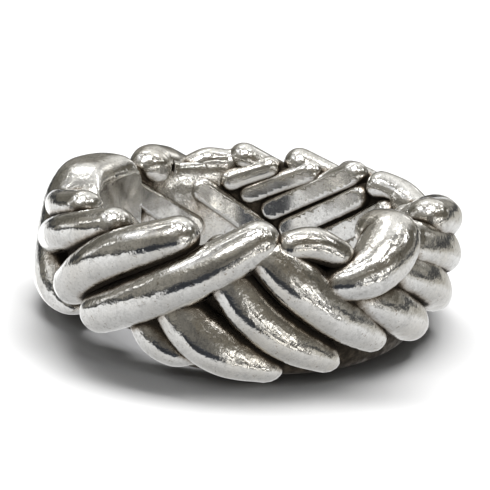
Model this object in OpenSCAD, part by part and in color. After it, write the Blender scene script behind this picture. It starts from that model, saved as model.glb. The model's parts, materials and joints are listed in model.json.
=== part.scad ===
// Braided band ring, cast in one piece, lying on its side.
// Angles go round the band in degrees: 0 faces -Y and 90 faces +X.
// Heights are measured up from the rest surface, depths outward from the finger hole.

/* [Band] */
// Diameter of the finger hole
bore_d = 18; // [15:0.5:22]
// Height of the plaited band as the ring lies on its side
band_h = 8.4; // [7:0.1:10]
// Depth at which the thin wall under the strands starts
web_in = 0.5; // [0.3:0.1:0.8]
// Depth at which the thin wall under the strands ends
web_out = 1.8; // [1.7:0.05:1.9]
// How far that wall bulges outward at half height
web_crown = 0.35; // [0.2:0.05:0.5]
// Height at which the wall under the strands starts
web_low = 0.1; // [0.1:0.05:2.5]
// Height at which the wall under the strands ends
web_high = 6.7; // [6:0.1:7]
// Angle by which that wall leans down towards +X
web_lean = 2; // [0:0.5:3]

// How much deeper a strand is on its hidden side than a round one
strand_root = 1.25; // [1:0.05:1.5]
// How much wider the upper half of a falling strand is than its lower half
strand_slope = 1.45; // [1:0.05:1.6]
// Angle by which a falling strand is rolled so that its face looks up
strand_roll = 14; // [0:1:20]
// How far a falling strand is drawn out at its ends, for each millimetre of half its width
strand_tip = 1.4; // [1:0.05:1.6]

/* [Plain stretch] */
// Angle at the middle of the plain stretch
plain_turn = -102.5; // [-110:0.5:-100]
// Half of the angle that the plain stretch takes
plain_half = 26; // [24:1:34]
// How far its front edge leans along the band for each millimetre down
plain_lean = 6; // [3:0.5:7]
// Height of the middle of the plain stretch
plain_mid = 4.4; // [4:0.05:5]
// Half of the height of the plain stretch
plain_rise = 3.75; // [3:0.05:4]
// Depth of the outer face of the plain stretch
plain_out = 4.3; // [3:0.05:4.5]
// How far its outer face sinks towards either end, where strands lie over it
plain_fall = 1.9; // [1:0.1:2.2]
// Exponent of its rounded section, smaller is squarer
plain_square = 0.6; // [0.4:0.01:1]

/* [Quality] */
// Flats round each strand of the outside
outer_sides = 10; // [6:1:12]
// Flats round each strand of the inside
inner_sides = 8; // [6:1:12]
// Sections along each stretch between two stations
strand_steps = 3; // [2:1:6]
// Flats round the finger hole
bore_sides = 60; // [36:4:120]

/* [Hidden] */
silver = "#b8b5ae";
bore_r = bore_d / 2;
outer_caps = [60, 32];
inner_caps = [45];
// Shapes of a strand: depth of its hidden side, width of its upper side, roll and draw of its ends
round_shape = [1, 1, 0, 1];
deep_shape = [strand_root, 1, 0, 1];
sloped_shape = [strand_root, strand_slope, strand_roll, strand_tip];
plain_sections = 12;
plain_points = 16;
plain_sink = 0.3;
web_t = web_out - web_in;
web_h = web_high - web_low;
web_cut = web_t / 3;

// Every strand is a list of stations: [angle, height, depth, width].

// Strands of the outside that rise to the right and roll over the top edge
rising = [
    [[-42, 2.6, 2.3, 2.3], [-20, 4.85, 2.2, 2.6], [2.5, 7.35, 1.65, 2.25]],
    [[-55, 3.45, 2.3, 2.4], [-37, 5.9, 2.3, 2.55], [-19, 7.3, 1.6, 2.2]],
    [[-79, 4.7, 2.35, 2.1], [-60, 6.1, 2.3, 2.05], [-41.5, 7.15, 1.5, 2.0]],
    [[-99, 5.8, 2.45, 1.8], [-78, 6.65, 1.95, 1.85], [-61.5, 7.3, 1.3, 1.9]],
    [[139, 2.5, 2.3, 2.3], [161, 4.7, 2.2, 2.5], [182.5, 7.1, 1.65, 2.2]],
    [[128, 3.3, 2.3, 2.3], [145, 5.4, 2.3, 2.4], [161, 6.95, 1.6, 2.2]],
    [[119, 4.3, 2.2, 2.1], [129, 5.8, 2.25, 2.05], [139.5, 6.7, 1.5, 2.0]],
    [[106, 5.7, 2.1, 1.9], [115, 6.3, 1.9, 1.9], [123, 6.6, 1.3, 1.9]]
];

// Strands of the outside that fall to the right, on both halves of the band
falling = [
    [[-29, 2.8, 1.6, 1.9], [-25, 1.95, 1.85, 1.9], [-19.5, 1.4, 1.8, 1.8], [-15, 1.35, 1.6, 1.5]],
    [[-19.5, 3.7, 1.8, 2.2], [-13.5, 2.5, 2.1, 2.3], [-5, 1.6, 2.15, 2.25], [4, 1.0, 1.9, 1.8]],
    [[-5, 5.1, 1.9, 1.9], [1, 3.75, 2.2, 2.0], [10, 2.4, 2.25, 2.0], [20.5, 1.35, 2.0, 1.65]],
    [[6, 6.3, 1.9, 2.0], [13, 5.05, 2.3, 2.2], [24, 3.4, 2.3, 2.2], [34.5, 2.15, 2.1, 1.8]],
    [[26, 4.9, 1.9, 2.0], [39.5, 3.4, 2.3, 2.15], [52.5, 2.0, 2.1, 2.15]],
    [[42, 5.3, 1.9, 2.0], [58, 3.9, 2.35, 2.15], [73.5, 2.4, 2.25, 2.2]]
];

// Falling strands that only one side of the band has
falling_once = [
    [[52, 6.2, 1.9, 2.0], [72, 4.9, 2.45, 2.2], [91, 3.5, 2.4, 2.25], [108, 1.0, 2.0, 2.1]],
    [[123, 3.4, 1.6, 1.9], [132, 2.5, 1.85, 1.9], [142, 1.3, 1.7, 1.8]],
    [[234, 5.6, 1.9, 2.0], [249, 4.0, 2.3, 2.15], [264, 1.1, 2.0, 2.2]]
];

// Thick hooks that curl over the top edge, the small knuckles beside them, and the longest strand
hooks = [
    [[20, 5.2, 2.0, 1.5], [25.5, 5.45, 2.5, 2.1], [32, 5.9, 2.7, 2.6],
     [38.5, 6.6, 2.4, 2.8], [43, 7.15, 1.9, 2.6], [44, 7.2, 0.9, 2.4]],
    [[199, 5.3, 2.0, 1.9], [206, 6.0, 2.5, 2.5], [212, 6.45, 2.5, 2.9],
     [218, 6.75, 2.1, 2.9], [222, 6.8, 1.4, 2.6]],
    [[11, 7.25, 1.9, 1.6], [17, 7.3, 1.9, 1.75], [24, 6.7, 2.0, 1.5]],
    [[190, 6.85, 1.9, 1.6], [197, 6.85, 1.9, 1.75], [204, 6.4, 2.0, 1.5]],
    [[66, 7.2, 1.9, 2.3], [82, 6.5, 2.3, 2.4], [98, 5.6, 2.1, 2.4], [124, 1.05, 2.0, 2.2]]
];

// Strands of the inside, polished flush with the finger hole, on both halves of the band
inside = [
    [[130, 5.6, 0.82, 2.0], [162, 2.5, 0.82, 2.0]],
    [[135, 6.9, 0.82, 2.0], [170, 3.75, 0.82, 2.0]],
    [[155, 6.5, 0.82, 1.8], [180, 4.75, 0.82, 1.8]],
    [[172, 6.6, 0.82, 1.7], [188, 5.6, 0.82, 1.7]],
    [[205, 2.5, 0.82, 2.1], [240, 6.25, 0.82, 2.0]],
    [[172, 1.9, 0.82, 2.1], [200, 5.0, 0.82, 2.0]]
];

// Strands of the inside that only one side of the band has
inside_once = [
    [[99, 5.4, 0.82, 2.0], [134, 1.6, 0.82, 2.0]],
    [[84, 6.2, 0.82, 2.0], [117, 2.0, 0.82, 2.0]],
    [[70, 6.6, 0.82, 2.0], [100, 2.2, 0.82, 2.0]],
    [[115, 5.0, 0.82, 2.1], [150, 1.6, 0.82, 2.0]],
    [[295, 5.0, 0.82, 2.0], [322, 2.6, 0.82, 2.0]]
];

// Smooth curve through the stations, at a station number that need not be whole
function blend(a, b, c, d, t) =
    0.5 * (2 * b + (c - a) * t + (2 * a - 5 * b + 4 * c - d) * t * t
           + (3 * b - a - 3 * c + d) * t * t * t);
function at(row, s) =
    let (last = len(row) - 1, i = min(floor(s), last - 1))
    blend(row[max(i - 1, 0)], row[i], row[i + 1], row[min(i + 2, last)], s - i);

function out_dir(turn) = [sin(turn), -cos(turn), 0];
function spot(p) = (bore_r + p[2]) * out_dir(p[0]) + [0, 0, p[1]];
function unit(v) = v / norm(v);

// One ring of points round the strand, at right angles to its way
function loop_at(row, sides, shape, s, ahead, shrink, spin) =
    let (
        last = len(row) - 1,
        p = at(row, s),
        way = unit(spot(at(row, min(s + 0.1, last))) - spot(at(row, max(s - 0.1, 0)))),
        side = unit(cross(way, out_dir(p[0]))),
        lift = cross(side, way),
        r = p[3] / 2,
        roll = shape[2],
        mid = spot(p) + ahead * shape[3] * r * way
    )
    [for (k = [0 : sides - 1])
        let (
            a = 360 * (k + spin) / sides,
            x = cos(a) * (cos(a) < 0 ? shape[0] : 1),
            y = sin(a) * (sin(a) > 0 ? shape[1] : 1)
        )
        mid + r * shrink * ((x * cos(roll) - y * sin(roll)) * lift - (x * sin(roll) + y * cos(roll)) * side)];

// The rings of a strand with rounded ends, each ring of an end half a flat further round
function strand_loops(row, sides, shape, caps) =
    let (last = len(row) - 1, count = last * strand_steps, m = len(caps))
    concat(
        [for (j = [0 : m - 1]) loop_at(row, sides, shape, 0, -sin(caps[j]), cos(caps[j]), (j - m) / 2)],
        [for (i = [0 : count]) loop_at(row, sides, shape, i / strand_steps, 0, 1, 0)],
        [for (j = [1 : m])
            let (c = caps[m - j])
            loop_at(row, sides, shape, last, sin(c), cos(c), j / 2)]
    );

// The two points where a strand ends
function strand_tips(row, shape) =
    let (last = len(row) - 1)
    [loop_at(row, 1, shape, 0, -1, 0, 0)[0], loop_at(row, 1, shape, last, 1, 0, 0)[0]];

// Closed skin over a row of point loops, drawn to a tip at either end
module skin(loops, tips) {
    m = len(loops);
    n = len(loops[0]);
    walls = [for (i = [0 : m - 2], k = [0 : n - 1], half = [0, 1])
        let (a = i * n + k, b = i * n + (k + 1) % n)
        half == 0 ? [a, b, a + n] : [b, b + n, a + n]];
    starts = [for (k = [0 : n - 1]) [(k + 1) % n, k, m * n]];
    ends = [for (k = [0 : n - 1]) [(m - 1) * n + k, (m - 1) * n + (k + 1) % n, m * n + 1]];
    polyhedron(concat([for (l = loops, p = l) p], tips), concat(walls, starts, ends), convexity = 4);
}

module strands(table, sides, shape, caps) {
    for (row = table) skin(strand_loops(row, sides, shape, caps), strand_tips(row, shape));
}

// The thin wall that the strands are fused to
module web() {
    translate([0, 0, web_low + web_h / 2]) rotate([0, web_lean, 0])
        rotate_extrude($fn = bore_sides)
            translate([bore_r + web_in, -web_h / 2])
                polygon([[0, 0], [web_t - web_cut, 0], [web_t, web_cut], [web_t + web_crown, web_h / 2],
                         [web_t, web_h - web_cut], [web_t - web_cut, web_h], [0, web_h]]);
}

// The broad smooth stretch, a leaning barrel with rounded rims
function power(v, e) = sign(v) * pow(abs(v), e);
function plain_loop(u) =
    let (
        full = sqrt(1 - pow(abs(u), 6)),
        r_in = bore_r - plain_sink,
        r_out = bore_r + plain_out - plain_fall * pow(abs(u), 2),
        r_mid = (r_in + r_out) / 2,
        r_half = (r_out - r_in) / 2
    )
    [for (k = [0 : plain_points - 1])
        let (
            a = 360 * k / plain_points,
            z = plain_mid + plain_rise * (0.5 + 0.5 * full) * power(sin(a), plain_square),
            lean = plain_lean * (u + 1) / 2 * (plain_mid - z)
        )
        (r_mid + r_half * power(cos(a), plain_square)) * out_dir(plain_turn + plain_half * u + lean)
            + [0, 0, z]];

function plain_tip(u) =
    (bore_r + (plain_out - plain_fall) / 2) * out_dir(plain_turn + 1.06 * plain_half * u) + [0, 0, plain_mid];

module plain_stretch() {
    skin([for (i = [0 : plain_sections]) plain_loop(2 * i / plain_sections - 1)],
         [plain_tip(-1), plain_tip(1)]);
}

module finger_hole() {
    translate([0, 0, -1])
        cylinder(r = bore_r, h = band_h + 4, $fn = bore_sides);
}

module rest_plane() {
    translate([-bore_d, -bore_d, -bore_d])
        cube([2 * bore_d, 2 * bore_d, bore_d]);
}

module braided_band() {
    color(silver)
        resize([0, 0, band_h])
            difference() {
                union() {
                    web();
                    plain_stretch();
                    strands(rising, outer_sides, deep_shape, outer_caps);
                    strands(hooks, outer_sides, deep_shape, outer_caps);
                    for (half = [0, 180]) rotate([0, 0, half]) {
                        strands(falling, outer_sides, sloped_shape, outer_caps);
                        strands(inside, inner_sides, round_shape, inner_caps);
                    }
                    strands(falling_once, outer_sides, sloped_shape, outer_caps);
                    strands(inside_once, inner_sides, round_shape, inner_caps);
                }
                finger_hole();
                rest_plane();
            }
}

braided_band();
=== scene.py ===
import json
import math

import bpy
import numpy as np
from mathutils import Euler, Matrix, Vector
from mathutils.bvhtree import BVHTree

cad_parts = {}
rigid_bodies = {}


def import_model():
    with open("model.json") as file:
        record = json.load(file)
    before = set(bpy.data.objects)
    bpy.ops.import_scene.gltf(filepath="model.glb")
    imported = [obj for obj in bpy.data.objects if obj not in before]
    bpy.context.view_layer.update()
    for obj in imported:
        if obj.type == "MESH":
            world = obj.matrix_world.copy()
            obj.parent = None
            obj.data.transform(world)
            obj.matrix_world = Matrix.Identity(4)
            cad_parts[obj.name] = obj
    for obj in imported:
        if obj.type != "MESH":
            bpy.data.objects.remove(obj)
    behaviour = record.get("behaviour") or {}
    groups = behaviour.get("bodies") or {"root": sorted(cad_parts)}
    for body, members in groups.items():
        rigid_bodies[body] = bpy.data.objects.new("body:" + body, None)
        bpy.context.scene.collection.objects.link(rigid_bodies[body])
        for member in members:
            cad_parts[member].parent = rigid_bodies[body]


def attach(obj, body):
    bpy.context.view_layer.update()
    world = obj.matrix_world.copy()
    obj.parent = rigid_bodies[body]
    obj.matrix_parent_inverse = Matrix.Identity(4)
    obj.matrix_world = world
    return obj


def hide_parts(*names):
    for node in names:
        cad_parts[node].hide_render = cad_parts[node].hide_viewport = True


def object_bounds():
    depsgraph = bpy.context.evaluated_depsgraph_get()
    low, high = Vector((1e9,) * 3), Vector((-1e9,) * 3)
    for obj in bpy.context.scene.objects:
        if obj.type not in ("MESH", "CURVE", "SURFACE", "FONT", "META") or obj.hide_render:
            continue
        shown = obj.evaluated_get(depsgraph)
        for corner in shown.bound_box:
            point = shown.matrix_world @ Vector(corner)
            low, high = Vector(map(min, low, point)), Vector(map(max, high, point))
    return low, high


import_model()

# Braided band ring in polished silver, lying on its side on a pale floor.
# Angles go round the band in degrees: 0 faces -Y and 90 faces +X. Lengths here are millimetres.
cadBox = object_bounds()
mm = 0.001

band = {
    "boreRadius": 9.0,
    "solver": "MANIFOLD",
    "wobble": 0.07,        # how uneven the hand-finished faces are
    "wobbleSize": 2.0,
    "sides": 40,
    "root": 1.25,          # a strand is deeper on its hidden side
    "slope": 1.45,         # and a falling one wider on its upper side
    "roll": 14.0,          # rolled so that its face looks up
    "tip": 1.4,            # and drawn out further at its ends
    "nose": 2.4, "noseDrop": 0.45,   # its lower end narrows from above, over this length
    "stepsPerStation": 14,
    "capTilts": (20, 38, 54, 68, 80, 89),   # rings of a rounded end, in degrees round it
    "mergeWithin": 0.0001,
}


def clearSelection():
    if bpy.context.object and bpy.context.object.mode != "OBJECT":
        bpy.ops.object.mode_set(mode="OBJECT")
    bpy.ops.object.select_all(action="DESELECT")


def selectOnly(piece):
    clearSelection()
    piece.select_set(True)
    bpy.context.view_layer.objects.active = piece


def faceOutwards(mergeWithin=0.0):
    bpy.ops.object.mode_set(mode="EDIT")
    bpy.ops.mesh.select_all(action="SELECT")
    if mergeWithin:
        bpy.ops.mesh.remove_doubles(threshold=mergeWithin)
    bpy.ops.mesh.normals_make_consistent(inside=False)
    bpy.ops.object.mode_set(mode="OBJECT")


def applyModifier(piece, kind, name, **settings):
    modifier = piece.modifiers.new(name, kind)
    for key, value in settings.items():
        setattr(modifier, key, value)
    bpy.ops.object.modifier_apply(modifier=name)


def outward(turn):
    a = math.radians(turn)
    return np.array([math.sin(a), -math.cos(a), 0.0])


# strands, each a list of stations: angle, height, depth from the finger hole, width
# those that rise to the right and roll over the top edge
rising = [
    [[-42, 2.6, 2.3, 2.3], [-20, 4.85, 2.2, 2.6], [2.5, 7.35, 1.65, 2.25]],
    [[-55, 3.45, 2.3, 2.4], [-37, 5.9, 2.3, 2.55], [-19, 7.3, 1.6, 2.2]],
    [[-79, 4.7, 2.35, 2.1], [-60, 6.1, 2.3, 2.05], [-41.5, 7.15, 1.5, 2.0]],
    [[-99, 5.8, 2.45, 1.8], [-78, 6.65, 1.95, 1.85], [-61.5, 7.3, 1.3, 1.9]],
    [[139, 2.5, 2.3, 2.3], [161, 4.7, 2.2, 2.5], [182.5, 7.1, 1.65, 2.2]],
    [[128, 3.3, 2.3, 2.3], [145, 5.4, 2.3, 2.4], [161, 6.95, 1.6, 2.2]],
    [[119, 4.3, 2.2, 2.1], [129, 5.8, 2.25, 2.05], [139.5, 6.7, 1.5, 2.0]],
    [[106, 5.7, 2.1, 1.9], [115, 6.3, 1.9, 1.9], [123, 6.6, 1.3, 1.9]],
]
# those that fall to the right, laid on both halves of the band
falling = [
    [[-29, 2.8, 1.6, 1.9], [-25, 1.95, 1.85, 1.9], [-19.5, 1.4, 1.8, 1.8], [-15, 1.35, 1.6, 1.5]],
    [[-19.5, 3.7, 1.8, 2.2], [-13.5, 2.5, 2.1, 2.3], [-5, 1.6, 2.15, 2.25], [4, 1.0, 1.9, 1.8]],
    [[-5, 5.1, 1.9, 1.9], [1, 3.75, 2.2, 2.0], [10, 2.4, 2.25, 2.0], [20.5, 1.35, 2.0, 1.65]],
    [[6, 6.3, 1.9, 2.0], [13, 5.05, 2.3, 2.2], [24, 3.4, 2.3, 2.2], [34.5, 2.15, 2.1, 1.8]],
    [[26, 4.9, 1.9, 2.0], [39.5, 3.4, 2.3, 2.15], [52.5, 2.0, 2.1, 2.15]],
    [[42, 5.3, 1.9, 2.0], [58, 3.9, 2.35, 2.15], [73.5, 2.4, 2.25, 2.2]],
]
# and on one side of it only
fallingOnce = [
    [[52, 6.2, 1.9, 2.0], [72, 4.9, 2.45, 2.2], [91, 3.5, 2.4, 2.25], [108, 1.0, 2.0, 2.1]],
    [[123, 3.4, 1.6, 1.9], [132, 2.5, 1.85, 1.9], [142, 1.3, 1.7, 1.8]],
    [[234, 5.6, 1.9, 2.0], [249, 4.0, 2.3, 2.15], [264, 1.1, 2.0, 2.2]],
]
# two thick hooks, the small knuckles beside them, and the longest strand
hooks = [
    [[20, 5.2, 2.0, 1.5], [25.5, 5.45, 2.5, 2.1], [32, 5.9, 2.7, 2.6],
     [38.5, 6.6, 2.4, 2.8], [43, 7.15, 1.9, 2.6], [44, 7.2, 0.9, 2.4]],
    [[199, 5.3, 2.0, 1.9], [206, 6.0, 2.5, 2.5], [212, 6.45, 2.5, 2.9],
     [218, 6.75, 2.1, 2.9], [222, 6.8, 1.4, 2.6]],
    [[11, 7.25, 1.9, 1.6], [17, 7.3, 1.9, 1.75], [24, 6.7, 2.0, 1.5]],
    [[190, 6.85, 1.9, 1.6], [197, 6.85, 1.9, 1.75], [204, 6.4, 2.0, 1.5]],
    [[66, 7.2, 1.9, 2.3], [82, 6.5, 2.3, 2.4], [98, 5.6, 2.1, 2.4], [124, 1.05, 2.0, 2.2]],
]
# flat bars of the inside, on both halves and on one side only
inside = [
    [[130, 5.6, 0.82, 2.0], [162, 2.5, 0.82, 2.0]],
    [[135, 6.9, 0.82, 2.0], [170, 3.75, 0.82, 2.0]],
    [[155, 6.5, 0.82, 1.8], [180, 4.75, 0.82, 1.8]],
    [[172, 6.6, 0.82, 1.7], [188, 5.6, 0.82, 1.7]],
    [[205, 2.5, 0.82, 2.1], [240, 6.25, 0.82, 2.0]],
    [[172, 1.9, 0.82, 2.1], [200, 5.0, 0.82, 2.0]],
]
insideOnce = [
    [[99, 5.4, 0.82, 2.0], [134, 1.6, 0.82, 2.0]],
    [[84, 6.2, 0.82, 2.0], [117, 2.0, 0.82, 2.0]],
    [[70, 6.6, 0.82, 2.0], [100, 2.2, 0.82, 2.0]],
    [[115, 5.0, 0.82, 2.1], [150, 1.6, 0.82, 2.0]],
    [[295, 5.0, 0.82, 2.0], [322, 2.6, 0.82, 2.0]],
]


def stationAt(row, s):
    last = len(row) - 1
    i = min(int(s), last - 1)
    t = s - i
    a, b, c, d = (np.array(row[min(max(i + k, 0), last)], float) for k in (-1, 0, 1, 2))
    return 0.5 * (2 * b + (c - a) * t + (2 * a - 5 * b + 4 * c - d) * t * t
                  + (3 * b - a - 3 * c + d) * t ** 3)


def spot(p, extraTurn=0.0):
    return (band["boreRadius"] + p[2]) * outward(p[0] + extraTurn) + np.array([0, 0, p[1]])


def pathCurve(name, points, closed=False, flat=False):
    clearSelection()
    bpy.ops.curve.primitive_nurbs_path_add(location=(0, 0, 0))
    path = bpy.context.object
    path.name = name
    curve = path.data
    curve.splines.clear()
    spline = curve.splines.new("POLY")
    spline.points.add(len(points) - 1)
    for point, (place, radius) in zip(spline.points, points):
        point.co = (*place, 1.0)
        point.radius = radius
    spline.use_cyclic_u = closed
    curve.dimensions = "2D" if flat else "3D"
    return path


# section of a strand: x points out of the band and y up, deeper inward by root and wider upward by slope
def sectionCurve(name, root, slope, roll):
    c, w = math.cos(math.radians(roll)), math.sin(math.radians(roll))
    points = []
    for k in range(band["sides"]):
        a = 2 * math.pi * k / band["sides"]
        x = math.cos(a) * (1.0 if math.cos(a) > 0 else root)
        y = math.sin(a) * (slope if math.sin(a) > 0 else 1.0)
        points.append((((x * c - y * w) * mm, (x * w + y * c) * mm, 0.0), 1.0))
    return pathCurve(name, points, closed=True, flat=True)


# a strand is a path curve with a radius at each point, rounded off at both ends
def layStrand(name, row, section, extraTurn=0.0, tip=1.0):
    last = len(row) - 1
    steps = last * band["stepsPerStation"]
    points = []
    for i in range(steps + 1):
        p = stationAt(row, last * i / steps)
        points.append((spot(p, extraTurn), p[3] / 2))
    startWay = points[0][0] - points[1][0]
    endWay = points[-1][0] - points[-2][0]
    startWay /= np.linalg.norm(startWay)
    endWay /= np.linalg.norm(endWay)
    first, lastPoint = points[0], points[-1]
    for a in map(math.radians, band["capTilts"]):
        reach = tip * math.sin(a)
        points.insert(0, (first[0] + startWay * first[1] * reach, first[1] * math.cos(a)))
        points.append((lastPoint[0] + endWay * lastPoint[1] * reach, lastPoint[1] * math.cos(a)))

    path = pathCurve(name, [(tuple(place * mm), radius) for place, radius in points])
    path.data.twist_mode = "Z_UP"
    path.data.bevel_mode = "OBJECT"
    path.data.bevel_object = section
    path.data.use_fill_caps = True
    bpy.ops.object.convert(target="MESH")
    faceOutwards(band["mergeWithin"] * mm)
    if tip > 1:
        narrowNose(bpy.context.object.data, np.array([place for place, radius in points]))
    return bpy.context.object


# draws the upper side of a strand down towards the last point of its path
def narrowNose(mesh, path):
    ways = np.gradient(path, axis=0)
    ways /= np.linalg.norm(ways, axis=1)[:, None]
    ups = np.array([0, 0, 1.0]) - ways[:, 2:] * ways
    ups /= np.linalg.norm(ups, axis=1)[:, None]
    left = np.concatenate([np.cumsum(np.linalg.norm(np.diff(path, axis=0), axis=1)[::-1])[::-1], [0]])
    for v in mesh.vertices:
        place = np.array(v.co) / mm
        i = int(np.argmin(((path - place) ** 2).sum(axis=1)))
        offset = place - path[i]
        near = min(max(1 - (left[i] - offset @ ways[i]) / band["nose"], 0), 1)
        high = max(offset @ ups[i], 0)
        v.co = Vector(place - ups[i] * high * band["noseDrop"] * near * near) * mm


print("stage: strands")
roundSection = sectionCurve("roundSection", 1.0, 1.0, 0.0)
deepSection = sectionCurve("deepSection", band["root"], 1.0, 0.0)
slopedSection = sectionCurve("slopedSection", band["root"], band["slope"], band["roll"])
blanks = []
for k, row in enumerate(rising + hooks):
    blanks.append(layStrand(f"strand{k:02d}", row, deepSection))
for k, row in enumerate(insideOnce):
    blanks.append(layStrand(f"innerStrand{k:02d}", row, roundSection))
for k, row in enumerate(fallingOnce):
    blanks.append(layStrand(f"fallingStrand{k:02d}", row, slopedSection, 0.0, band["tip"]))
for turn in (0.0, 180.0):
    for k, row in enumerate(falling):
        blanks.append(layStrand(f"sloped{int(turn)}_{k:02d}", row, slopedSection, turn, band["tip"]))
    for k, row in enumerate(inside):
        blanks.append(layStrand(f"inner{int(turn)}_{k:02d}", row, roundSection, turn))
clearSelection()
for section in (roundSection, deepSection, slopedSection):
    section.select_set(True)
bpy.ops.object.delete()

# the wall in the grooves is a torus pulled tall
web = {
    "middle": 10.05, "thickness": 0.75, "low": 0.1, "high": 6.8, "lean": 2.0,
    "segments": (160, 24),
    "gapTurn": -43, "gapHalf": 22, "gapRise": 1.3, "gapSteep": 1.6,   # it stands clear of the floor here
}
webMiddle = (0, 0, (web["low"] + web["high"]) / 2 * mm)
webHalf = (web["high"] - web["low"]) / 2
clearSelection()
bpy.ops.mesh.primitive_torus_add(
    location=webMiddle, major_radius=web["middle"] * mm, minor_radius=web["thickness"] * mm,
    major_segments=web["segments"][0], minor_segments=web["segments"][1])
bpy.ops.object.mode_set(mode="EDIT")
bpy.ops.transform.resize(value=(1, 1, webHalf / web["thickness"]))
bpy.ops.transform.rotate(value=math.radians(-web["lean"]), orient_axis="Y", center_override=webMiddle)
bpy.ops.object.mode_set(mode="OBJECT")
for v in bpy.context.object.data.vertices:
    turn = math.degrees(math.atan2(v.co.x, -v.co.y))
    aside = (turn - web["gapTurn"]) / web["gapHalf"]
    near = min(max(web["gapSteep"] - web["gapSteep"] * aside ** 2, 0), 1)
    if v.co.z < 0:
        v.co.z *= 1 - near * web["gapRise"] / webHalf
blanks.append(bpy.context.object)

# the plain stretch starts as a ball, whose poles become its two hidden ends
print("stage: plain stretch")
plain = {
    "turn": -102.5, "half": 26, "lean": 6, "mid": 4.4, "rise": 3.75,
    "out": 4.25, "fall": 1.9, "square": 0.6, "sink": 0.2,
    "blunt": 6, "endShare": 0.5,      # its ends are blunt and half as tall
    "segments": 64, "rings": 48,
}
clearSelection()
bpy.ops.mesh.primitive_uv_sphere_add(
    segments=plain["segments"], ring_count=plain["rings"], radius=1, location=(0, 0, 0))
plainBlank = bpy.context.object


def power(v, e):
    return math.copysign(abs(v) ** e, v)


for v in plainBlank.data.vertices:
    u = math.asin(max(-1, min(1, v.co.z))) / (math.pi / 2)
    a = math.atan2(v.co.y, v.co.x)
    full = math.sqrt(max(0, 1 - abs(u) ** plain["blunt"]))
    tall = plain["endShare"] + (1 - plain["endShare"]) * full
    rIn = band["boreRadius"] - plain["sink"]
    rOut = band["boreRadius"] + plain["out"] - plain["fall"] * u * u
    rMid, rHalf = (rIn + rOut) / 2, (rOut - rIn) / 2
    z = plain["mid"] + plain["rise"] * tall * power(math.sin(a), plain["square"])
    lean = plain["lean"] * (u + 1) / 2 * (plain["mid"] - z)
    r = rMid + rHalf * power(math.cos(a), plain["square"])
    v.co = Vector(r * outward(plain["turn"] + plain["half"] * u + lean) + np.array([0, 0, z])) * mm
selectOnly(plainBlank)
faceOutwards()
blanks.append(plainBlank)


# hand-finished faces are never quite even
wobble = bpy.data.textures.new("handWobble", "CLOUDS")
wobble.noise_scale = band["wobbleSize"] * mm
wobble.noise_depth = 1
for blank in blanks:
    selectOnly(blank)
    bpy.ops.object.transform_apply(location=True, rotation=True, scale=True)
    applyModifier(blank, "DISPLACE", "unevenFaces", texture=wobble, texture_coords="LOCAL",
                  strength=band["wobble"] * mm, mid_level=0.5)

print("stage: fuse into one casting")
pool = bpy.data.collections.new("strandPool")
bpy.context.scene.collection.children.link(pool)
ring = blanks[-1]
for blank in blanks[:-1]:
    for home in list(blank.users_collection):
        home.objects.unlink(blank)
    pool.objects.link(blank)
selectOnly(ring)
ring.name = "braidedBandSilver"
ring.data.name = "braidedBandSilver"
applyModifier(ring, "BOOLEAN", "fuse", operation="UNION", operand_type="COLLECTION",
              collection=pool, solver=band["solver"])
tallest = max(v.co.z for v in ring.data.vertices)
bpy.ops.object.mode_set(mode="EDIT")
bpy.ops.mesh.select_all(action="SELECT")
bpy.ops.transform.resize(value=(1, 1, cadBox[1][2] / tallest), center_override=(0, 0, 0))
bpy.ops.object.mode_set(mode="OBJECT")


# the finger hole is cut through and the feet are ground level
def cutAway(name, cutter):
    selectOnly(ring)
    applyModifier(ring, "BOOLEAN", name, operation="DIFFERENCE", object=cutter, solver=band["solver"])
    clearSelection()
    cutter.select_set(True)
    bpy.ops.object.delete()


# rows of small faces keep the shine of the cut even
bore = {"sides": 180, "rows": 48, "rowHeight": 0.25, "from": -1.5, "mergeWithin": 0.001}
bpy.ops.mesh.primitive_cylinder_add(
    vertices=bore["sides"], radius=band["boreRadius"] * mm, depth=bore["rowHeight"] * mm,
    end_fill_type="NOTHING", location=(0, 0, bore["from"] * mm))
hole = bpy.context.object
bpy.ops.object.transform_apply(location=True, rotation=True, scale=True)
applyModifier(hole, "ARRAY", "rows", count=bore["rows"], relative_offset_displace=(0, 0, 1),
              use_merge_vertices=True, merge_threshold=bore["mergeWithin"] * mm)
bpy.ops.object.mode_set(mode="EDIT")
bpy.ops.mesh.select_all(action="SELECT")
bpy.ops.mesh.fill_holes(sides=0)
bpy.ops.mesh.normals_make_consistent(inside=False)
bpy.ops.object.mode_set(mode="OBJECT")
cutAway("fingerHole", hole)
ground = 40 * mm        # the side of a block that fills all below the rest surface
bpy.ops.mesh.primitive_cube_add(size=ground, location=(0, 0, -ground / 2))
cutAway("restPlane", bpy.context.object)
for blank in list(pool.objects):
    bpy.data.objects.remove(blank)
bpy.data.collections.remove(pool)
selectOnly(ring)
print("fused vertices", len(ring.data.vertices), "faces", len(ring.data.polygons))
bpy.ops.object.shade_smooth_by_angle(angle=math.radians(35))
applyModifier(ring, "WEIGHTED_NORMAL", "evenShine", mode="FACE_AREA_WITH_ANGLE", keep_sharp=True)


grooves = {
    "rays": 20, "quickRays": 8, "reach": 3.0, "lift": 0.02, "blur": 3,
    # the wall behind the strands and its foot by the floor get painted shade, darkened as if deep in a
    # groove, partly also the blackening of the real hollows: each limit with the way over which it fades
    "wallShadeTone": 0.42, "wallTop": (6.3, 0.8), "wallRadius": (11.2, 0.25), "wallFacing": (0.2, 0.3),
    "footTop": (0.9, 0.3), "footRadius": (9.1, 0.2),
    "polishedRadius": (9.08, 0.05),
}


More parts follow.
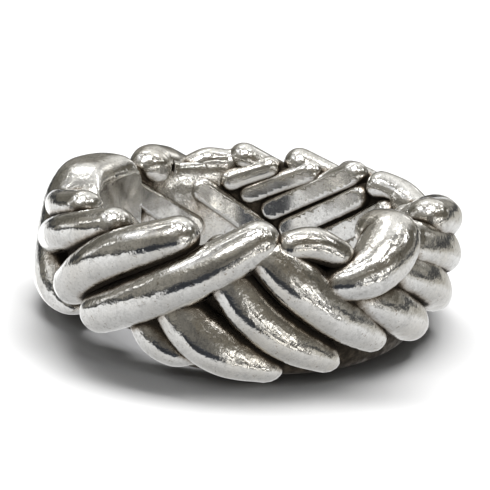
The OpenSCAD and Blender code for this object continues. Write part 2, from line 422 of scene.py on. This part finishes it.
# how closed in each point is: 0 on open faces, 1 deep in a groove
def measureGrooves(piece, rays, reach, lift):
    mesh = piece.data
    tree = BVHTree.FromObject(piece, bpy.context.evaluated_depsgraph_get())
    golden = math.pi * (3 - math.sqrt(5))
    spread = []
    for k in range(rays):
        up = (k + 0.5) / rays
        out = math.sqrt(1 - up * up)
        spread.append((out * math.cos(golden * k), out * math.sin(golden * k), up))
    closed = np.zeros(len(mesh.vertices))
    for v in mesh.vertices:
        turn = v.normal.to_track_quat("Z", "X").to_matrix()
        start = v.co + v.normal * lift
        hits = 0.0
        for way in spread:
            hit = tree.ray_cast(start, turn @ Vector(way), reach)[3]
            if hit is not None:
                hits += 1 - hit / reach
        closed[v.index] = hits / rays
    return closed


def blurOverEdges(mesh, values, passes):
    ends = np.empty(len(mesh.edges) * 2, dtype=np.int64)
    mesh.edges.foreach_get("vertices", ends)
    a, b = ends[0::2], ends[1::2]
    count = np.bincount(np.concatenate([a, b]), minlength=len(values))
    for _ in range(passes):
        total = np.bincount(a, values[b], len(values)) + np.bincount(b, values[a], len(values))
        values = 0.5 * values + 0.5 * total / count
    return values


# 0 to 1 over a short way past a limit
def above(values, limit, over):
    return np.clip((values - limit) / over, 0, 1)


def below(values, limit, over):
    return np.clip((limit - values) / over, 0, 1)


print("stage: grooves")
rays = grooves["rays"]
closedIn = measureGrooves(ring, rays, grooves["reach"] * mm, grooves["lift"] * mm)
closedIn = blurOverEdges(ring.data, closedIn, grooves["blur"])
points = np.array([v.co[:] for v in ring.data.vertices]) / mm
normals = np.array([v.normal[:] for v in ring.data.vertices])
radius = np.hypot(points[:, 0], points[:, 1])
faceOut = (points[:, 0] * normals[:, 0] + points[:, 1] * normals[:, 1]) / radius
# painted shade: the wall and its foot by the floor are darkened like a deep groove, for the shade under and
# between the strands, partly also the blackened hollows
footShade = below(points[:, 2], *grooves["footTop"]) * above(radius, *grooves["footRadius"])
wallShade = (np.maximum(above(faceOut, *grooves["wallFacing"]), footShade) * below(radius, *grooves["wallRadius"])
        * below(points[:, 2], *grooves["wallTop"]))
closedIn = np.maximum(closedIn, grooves["wallShadeTone"] * wallShade)
print("closed in, percentiles", np.percentile(closedIn, [5, 25, 50, 75, 95, 99]).round(3))
# this attribute holds the blackening of the grooves and, on the wall behind the strands, painted shade
grooveAndShade = ring.data.attributes.new("grooveAndShade", "FLOAT", "POINT")
grooveAndShade.data.foreach_set("value", closedIn)
polished = ring.data.attributes.new("polished", "FLOAT", "POINT")
polished.data.foreach_set("value", below(radius, *grooves["polishedRadius"]))


# shader maths as expressions on sockets
class Flow:
    def __init__(self, tree, socket):
        self.tree = tree
        self.socket = socket

    def math(self, operation, *others, clamp=False):
        node = self.tree.nodes.new("ShaderNodeMath")
        node.operation = operation
        node.use_clamp = clamp
        for k, value in enumerate((self, *others)):
            feed(self.tree, node.inputs[k], value)
        return Flow(self.tree, node.outputs[0])

    def __add__(self, other):
        return self.math("ADD", other)

    __radd__ = __add__

    def __mul__(self, other):
        return self.math("MULTIPLY", other)

    __rmul__ = __mul__

    def __sub__(self, other):
        return self.math("SUBTRACT", other)

    def __rsub__(self, other):
        return (self * -1.0) + other

    def __pow__(self, other):
        return self.math("POWER", other)

    def clamp(self):
        return self.math("ADD", 0.0, clamp=True)

    def between(self, low, high):
        return ((self - low) * (1.0 / (high - low))).clamp()


def feed(tree, socket, value):
    if isinstance(value, Flow):
        tree.links.new(value.socket, socket)
    else:
        socket.default_value = value


class Bench:
    def __init__(self, tree):
        self.tree = tree
        tree.nodes.clear()

    def node(self, kind, settings=None, out=0, stops=None, **values):
        node = self.tree.nodes.new("ShaderNode" + kind)
        for key, value in (settings or {}).items():
            setattr(node, key, value)
        if stops:
            ramp = node.color_ramp
            while len(ramp.elements) < len(stops):
                ramp.elements.new(0.5)
            for element, (position, color) in zip(ramp.elements, stops):
                element.position = position
                element.color = color
        for key, value in values.items():
            socket = node.inputs[int(key[1:])] if key[0] == "i" and key[1:].isdigit() \
                else node.inputs[key.replace("_", " ")]
            feed(self.tree, socket, value)
        return Flow(self.tree, node.outputs[out]) if len(node.outputs) else None

    def mix(self, factor, low, high):
        return self.node("Mix", {"data_type": "RGBA"}, out=2, i0=factor, i6=low, i7=high)


silver = {
    "bright": (0.84, 0.835, 0.815, 1),
    "warm": (0.68, 0.65, 0.59, 1),
    "dull": (0.54, 0.535, 0.52, 1),
    "tarnish": (0.25, 0.20, 0.145, 1),
    "oxide": (0.035, 0.028, 0.02, 1),
    "roughness": 0.08,
    # heights of the unevenness in millimetres, and the scales of its patterns
    "waves": 0.030, "dents": 0.019, "grain": 0.0022, "scratches": 0.0014, "pits": 0.012,
    "cloudScale": 900.0, "dentScale": 2200.0, "grainScale": 7500.0,
    "patchScale": 260.0, "speckScale": 5200.0,
    "scratchWays": ((20, 2800.0), (-35, 3800.0), (75, 3200.0)),    # direction in degrees, scale
    "evenInside": 0.85,       # how much of it is polished away in the finger hole
}


def silverMaterial():
    material = bpy.data.materials.new("silverWorn")
    material.use_nodes = True
    b = Bench(material.node_tree)
    place = b.node("TexCoord", out=3)
    grooveAndShade = b.node("Attribute", {"attribute_name": "grooveAndShade"}, out=2)
    polished = b.node("Attribute", {"attribute_name": "polished"}, out=2)
    cloudy = b.node("TexNoise", Vector=place, Scale=silver["cloudScale"], Detail=4.0, Roughness=0.6)
    dents = b.node("TexNoise", Vector=place, Scale=silver["dentScale"], Detail=2.0, Roughness=0.5)
    grain = b.node("TexNoise", Vector=place, Scale=silver["grainScale"], Detail=3.0, Roughness=0.6)
    patches = b.node("TexNoise", Vector=place, Scale=silver["patchScale"], Detail=3.0, Roughness=0.55)
    # depth holds the blackening of the grooves and, on the wall behind the strands, painted shade; both
    # feed tarnish, oxide and the dark crust
    depth = grooveAndShade + (cloudy - 0.5) * 0.12 + (dents - 0.5) * 0.14 + (grain - 0.5) * 0.10
    tarnish = depth.between(0.17, 0.38)
    oxide = depth.between(0.30, 0.46)
    scratches = None
    for k, (spin, scale) in enumerate(silver["scratchWays"]):
        turned = b.node("Mapping", Vector=place, Scale=(1.0, 0.06, 1.0),
                        Rotation=(math.radians(spin), math.radians(spin * 0.7), 0.3 * k))
        lines = b.node("TexNoise", Vector=turned, Scale=scale, Detail=2.0)
        fine = lines.between(0.60, 0.68)
        scratches = fine if scratches is None else scratches + fine
    scratches = scratches.clamp()
    specks = b.node("TexNoise", Vector=place, Scale=silver["speckScale"], Detail=2.0, Roughness=0.7)
    pits = specks.between(0.60, 0.72) * dents.between(0.40, 0.60)
    worn = grain.between(0.35, 0.70) * 0.35 + cloudy.between(0.40, 0.70) * 0.35 + scratches * 0.3
    color = b.mix(patches.between(0.4, 0.7), silver["bright"], silver["warm"])
    color = b.mix(worn.clamp(), color, silver["dull"])
    color = b.mix(pits * 0.75, color, silver["tarnish"])
    color = b.mix(tarnish, color, silver["tarnish"])
    color = b.mix(oxide, color, silver["oxide"])
    rough = scratches * 0.08 + (cloudy - 0.5) * 0.08 + silver["roughness"]
    rough = (rough + tarnish * 0.14 + oxide * 0.25 + polished * 0.07).clamp()
    height = (cloudy * silver["waves"] + dents * silver["dents"] + scratches * -silver["scratches"]
              + grain * (tarnish * silver["pits"] + silver["grain"]))
    height = height * (1.0 - polished * silver["evenInside"])
    bump = b.node("Bump", Strength=1.0, Distance=mm, Height=height)
    metal = b.node("BsdfPrincipled", Base_Color=color, Metallic=1.0, Roughness=rough, Normal=bump)
    crust = b.node("BsdfPrincipled", Base_Color=silver["oxide"], Roughness=0.9,
                   Specular_IOR_Level=0.15, Normal=bump)
    shader = b.node("MixShader", i0=oxide * 0.85, i1=metal, i2=crust)
    b.node("OutputMaterial", Surface=shader)
    return material


print("stage: silver")
ring.data.materials.clear()
ring.data.materials.append(silverMaterial())
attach(ring, "root")
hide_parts("braided_band")


# floor, lights and camera
print("stage: studio")
studio = {
    "floorSize": 3.0,
    "floorColor": (0.86, 0.86, 0.86, 1),
    # painted shade: the floor's colour darkens between these radii towards the inside of the ring
    "paintedShadeColor": (0.30, 0.30, 0.305, 1), "paintedShadeFrom": 9.5, "paintedShadeTo": 11.5,
}


def floorMaterial():
    material = bpy.data.materials.new("paleFloor")
    material.use_nodes = True
    b = Bench(material.node_tree)
    # painted shade: the floor's colour is duller inside the ring, standing in for the ring's own shade
    away = b.node("VectorMath", {"operation": "LENGTH"}, out=1, i0=b.node("TexCoord", out=3))
    paintedShade = 1.0 - away.between(studio["paintedShadeFrom"] * mm, studio["paintedShadeTo"] * mm)
    color = b.mix(paintedShade, studio["floorColor"], studio["paintedShadeColor"])
    shader = b.node("BsdfPrincipled", Base_Color=color, Roughness=0.7)
    b.node("OutputMaterial", Surface=shader)
    return material


clearSelection()
bpy.ops.mesh.primitive_plane_add(size=studio["floorSize"], location=(0, 0, 0))
floor = bpy.context.object
floor.name = "floor"
floor.data.materials.append(floorMaterial())
floor.visible_glossy = False


# one soft light shades the floor, the silver mirrors the room that the world describes
softTop = {"place": (0.15, 0.48, 1.70), "size": (1.80, 0.58), "watts": 51.0}
light = bpy.data.lights.new("softTop", "AREA")
light.shape = "RECTANGLE"
light.size, light.size_y = softTop["size"]
light.energy = softTop["watts"]
lamp = bpy.data.objects.new("softTop", light)
lamp.location = softTop["place"]
lamp.rotation_euler = Vector(softTop["place"]).to_track_quat("Z", "Y").to_euler()
lamp.visible_glossy = False
bpy.context.scene.collection.objects.link(lamp)

surroundings = {
    # a sweep of white paper below: azimuth where its edge dips, by how much, and its usual elevation
    "edgeAzimuth": -13.0, "edgeDip": 9.0, "edgeRise": -3.0,
    # things that stand round the ring: azimuth from and to, elevation from and to, softness, colour
    "panels": [
        (-36, 8, -10, 28, 5, (0.20, 0.19, 0.17, 1)),
        (-36, 10, -24, 2, 3, (0.062, 0.067, 0.078, 1)),
        (2, 72, 20, 72, 6, (0.21, 0.19, 0.155, 1)),
        (60, 126, 10, 36, 5, (0.15, 0.138, 0.112, 1)),
        (-146, -116, 0, 28, 6, (0.16, 0.15, 0.125, 1)),
        (60, 165, -12, 8, 6, (0.52, 0.50, 0.45, 1)),
        (-126, -60, 38, 57, 4, (1.00, 1.00, 1.01, 1)),
        (-60, -14, 40, 64, 6, (0.78, 0.77, 0.75, 1)),
    ],
    "glass": (6, 64, -20, 17, 5),
    "glassDark": (0.15, 0.145, 0.13, 1), "glassLight": (2.4, 2.35, 2.25, 1),
    "gapColor": (0.035, 0.038, 0.044, 1),
    "fleckColor": (0.05, 0.05, 0.052, 1),
    "sparkleColor": (3.4, 3.35, 3.25, 1),
    # lamps: azimuth, elevation, size and softness in degrees, brightness
    "lamps": [
        (160, 50, 56, 9, 0.50), (-165, 62, 40, 9, 0.28), (5, 72, 40, 9, 0.12), (8, 68, 9, 1.5, 9.0),
        (-22, 62, 9, 1.5, 9.0), (-38, 52, 7, 1.5, 8.0), (48, 56, 8, 1.5, 8.0), (-4, 84, 9, 2, 7.0),
        (26, 76, 6, 1.5, 8.0), (-60, 71, 7, 1.5, 6.0), (66, 50, 7, 2, 5.0), (98, 38, 10, 2, 5.0),
        (120, 62, 9, 2, 4.0), (120, 14, 9, 2, 2.2), (-92, 25, 9, 2, 1.4), (-95, 47, 9, 2, 2.4),
        (-150, 58, 13, 3, 2.0), (-150, -19, 20, 5, 0.7), (150, 24, 12, 4, 0.9), (-104, 8, 8, 2, 0.9),
        (-98, 11, 11, 3, 0.6), (34, 12, 7, 2, 2.0), (16, 3, 8, 2, 1.2),
    ],
    "bouncedColor": (0.12, 0.12, 0.12, 1),     # what the room gives to the floor
    "backdropColor": (1.0, 1.0, 1.0, 1),
}
world = bpy.data.worlds.new("studioRoom")
bpy.context.scene.world = world
world.use_nodes = True
b = Bench(world.node_tree)
way = b.node("TexCoord", out=0)
east, north, up = (b.node("SeparateXYZ", out=k, Vector=way) for k in range(3))
ripple = b.node("TexNoise", Vector=way, Scale=2.6, Detail=3.0, Roughness=0.6)
blobs = b.node("TexNoise", Vector=way, Scale=3.4, Detail=3.0, Roughness=0.6)
flecks = b.node("TexNoise", Vector=way, Scale=9.0, Detail=2.0, Roughness=0.6)
# where a direction points, in degrees: round from the camera, and up
around = east.math("ARCTAN2", north * -1.0) * math.degrees(1) + (ripple - 0.5) * 26.0
rise = up.math("ARCSINE") * math.degrees(1) + (blobs - 0.5) * 22.0

# the paper's edge, which has a dark gap above it
facing = ((around - surroundings["edgeAzimuth"]) * math.radians(1)).math("COSINE").clamp()
aboveEdge = rise - (facing ** 2.5 * -surroundings["edgeDip"] + surroundings["edgeRise"])
over = aboveEdge.between(-1.5, 1.5)
paper = b.node("ValToRGB", Fac=up * 0.5 + 0.5, stops=[
    (0.00, (0.52, 0.52, 0.52, 1)), (0.25, (0.82, 0.82, 0.82, 1)), (0.50, (1.08, 1.085, 1.09, 1))])
room = b.node("ValToRGB", Fac=up * 0.5 + 0.5, stops=[
    (0.30, (0.31, 0.295, 0.26, 1)), (0.70, (0.31, 0.295, 0.26, 1)), (0.82, (0.42, 0.405, 0.365, 1)),
    (1.00, (0.44, 0.43, 0.40, 1))])
lit = b.mix(over, paper, room)


# 1 between two azimuths and two elevations, 0 elsewhere
def panel(azLow, azHigh, elLow, elHigh, soft):
    flat = around.between(azLow - soft, azLow + soft) * (1.0 - around.between(azHigh - soft, azHigh + soft))
    tall = rise.between(elLow - soft, elLow + soft)
    return flat * tall * (1.0 - rise.between(elHigh - soft, elHigh + soft))


for *place, color in surroundings["panels"]:
    lit = b.mix(panel(*place), lit, color)
glass = panel(*surroundings["glass"])
mottled = b.mix(flecks.between(0.50, 0.55), surroundings["glassDark"], surroundings["glassLight"])
lit = b.mix(glass, lit, mottled)
gap = over * (1.0 - aboveEdge.between(6.0, 11.0)) * ripple.between(0.40, 0.47)
lit = b.mix(gap * 0.9, lit, surroundings["gapColor"])
lit = b.mix(flecks.between(0.54, 0.62) * over * (1.0 - glass) * 0.6, lit, surroundings["fleckColor"])
sparkle = (1.0 - flecks.between(0.36, 0.40)) * rise.between(34.0, 44.0)
lit = b.mix(sparkle, lit, surroundings["sparkleColor"])
glow = None
for az, el, wide, soft, bright in surroundings["lamps"]:
    flat = math.cos(math.radians(el))
    aim = Vector(outward(az)) * flat + Vector((0, 0, math.sin(math.radians(el))))
    near = b.node("VectorMath", {"operation": "DOT_PRODUCT"}, out=1, i0=way, i1=aim)
    near = near + (blobs - 0.5) * 0.03
    disc = near.between(*(math.cos(math.radians(wide / 2 + k)) for k in (soft, -soft))) * bright
    glow = disc if glow is None else glow + disc
lit = b.node("VectorMath", {"operation": "ADD"}, i0=lit, i1=glow)
seen = b.node("LightPath", out=0)
bounced = b.node("LightPath", out="Diffuse Depth").clamp()
back = b.mix(bounced, lit, surroundings["bouncedColor"])
back = b.mix(seen, back, surroundings["backdropColor"])
background = b.node("Background", Color=back, Strength=1.0)
b.node("OutputWorld", Surface=background)

view = {
    "rise": 17.3, "distance": 55.0, "lens": 66.6, "sensor": 36, "roll": 2.0, "centre": 4.0,
    "offX": 3.0, "offY": -2.0, "pixels": 490,    # shift of the picture, in pixels of its width
    "clip": (0.002, 20),
}
lookDown = math.radians(view["rise"])
centre = Vector((0, 0, view["centre"] * mm))
eye = bpy.data.cameras.new("eye")
eye.lens = view["lens"]
eye.sensor_width = view["sensor"]
eye.clip_start, eye.clip_end = view["clip"]
camera = bpy.data.objects.new("eye", eye)
bpy.context.scene.collection.objects.link(camera)
basis = Euler((math.pi / 2 - lookDown, 0, 0)).to_matrix()
basis = basis @ Matrix.Rotation(math.radians(view["roll"]), 3, "Z")
away = view["distance"] * mm
camera.location = centre + away * Vector((0, -math.cos(lookDown), math.sin(lookDown)))
pixel = view["sensor"] / view["lens"] / view["pixels"] * away
camera.location -= basis @ Vector((view["offX"] * pixel, -view["offY"] * pixel, 0))
camera.rotation_euler = basis.to_euler()
bpy.context.scene.camera = camera
bpy.context.scene.view_settings.view_transform = "Standard"
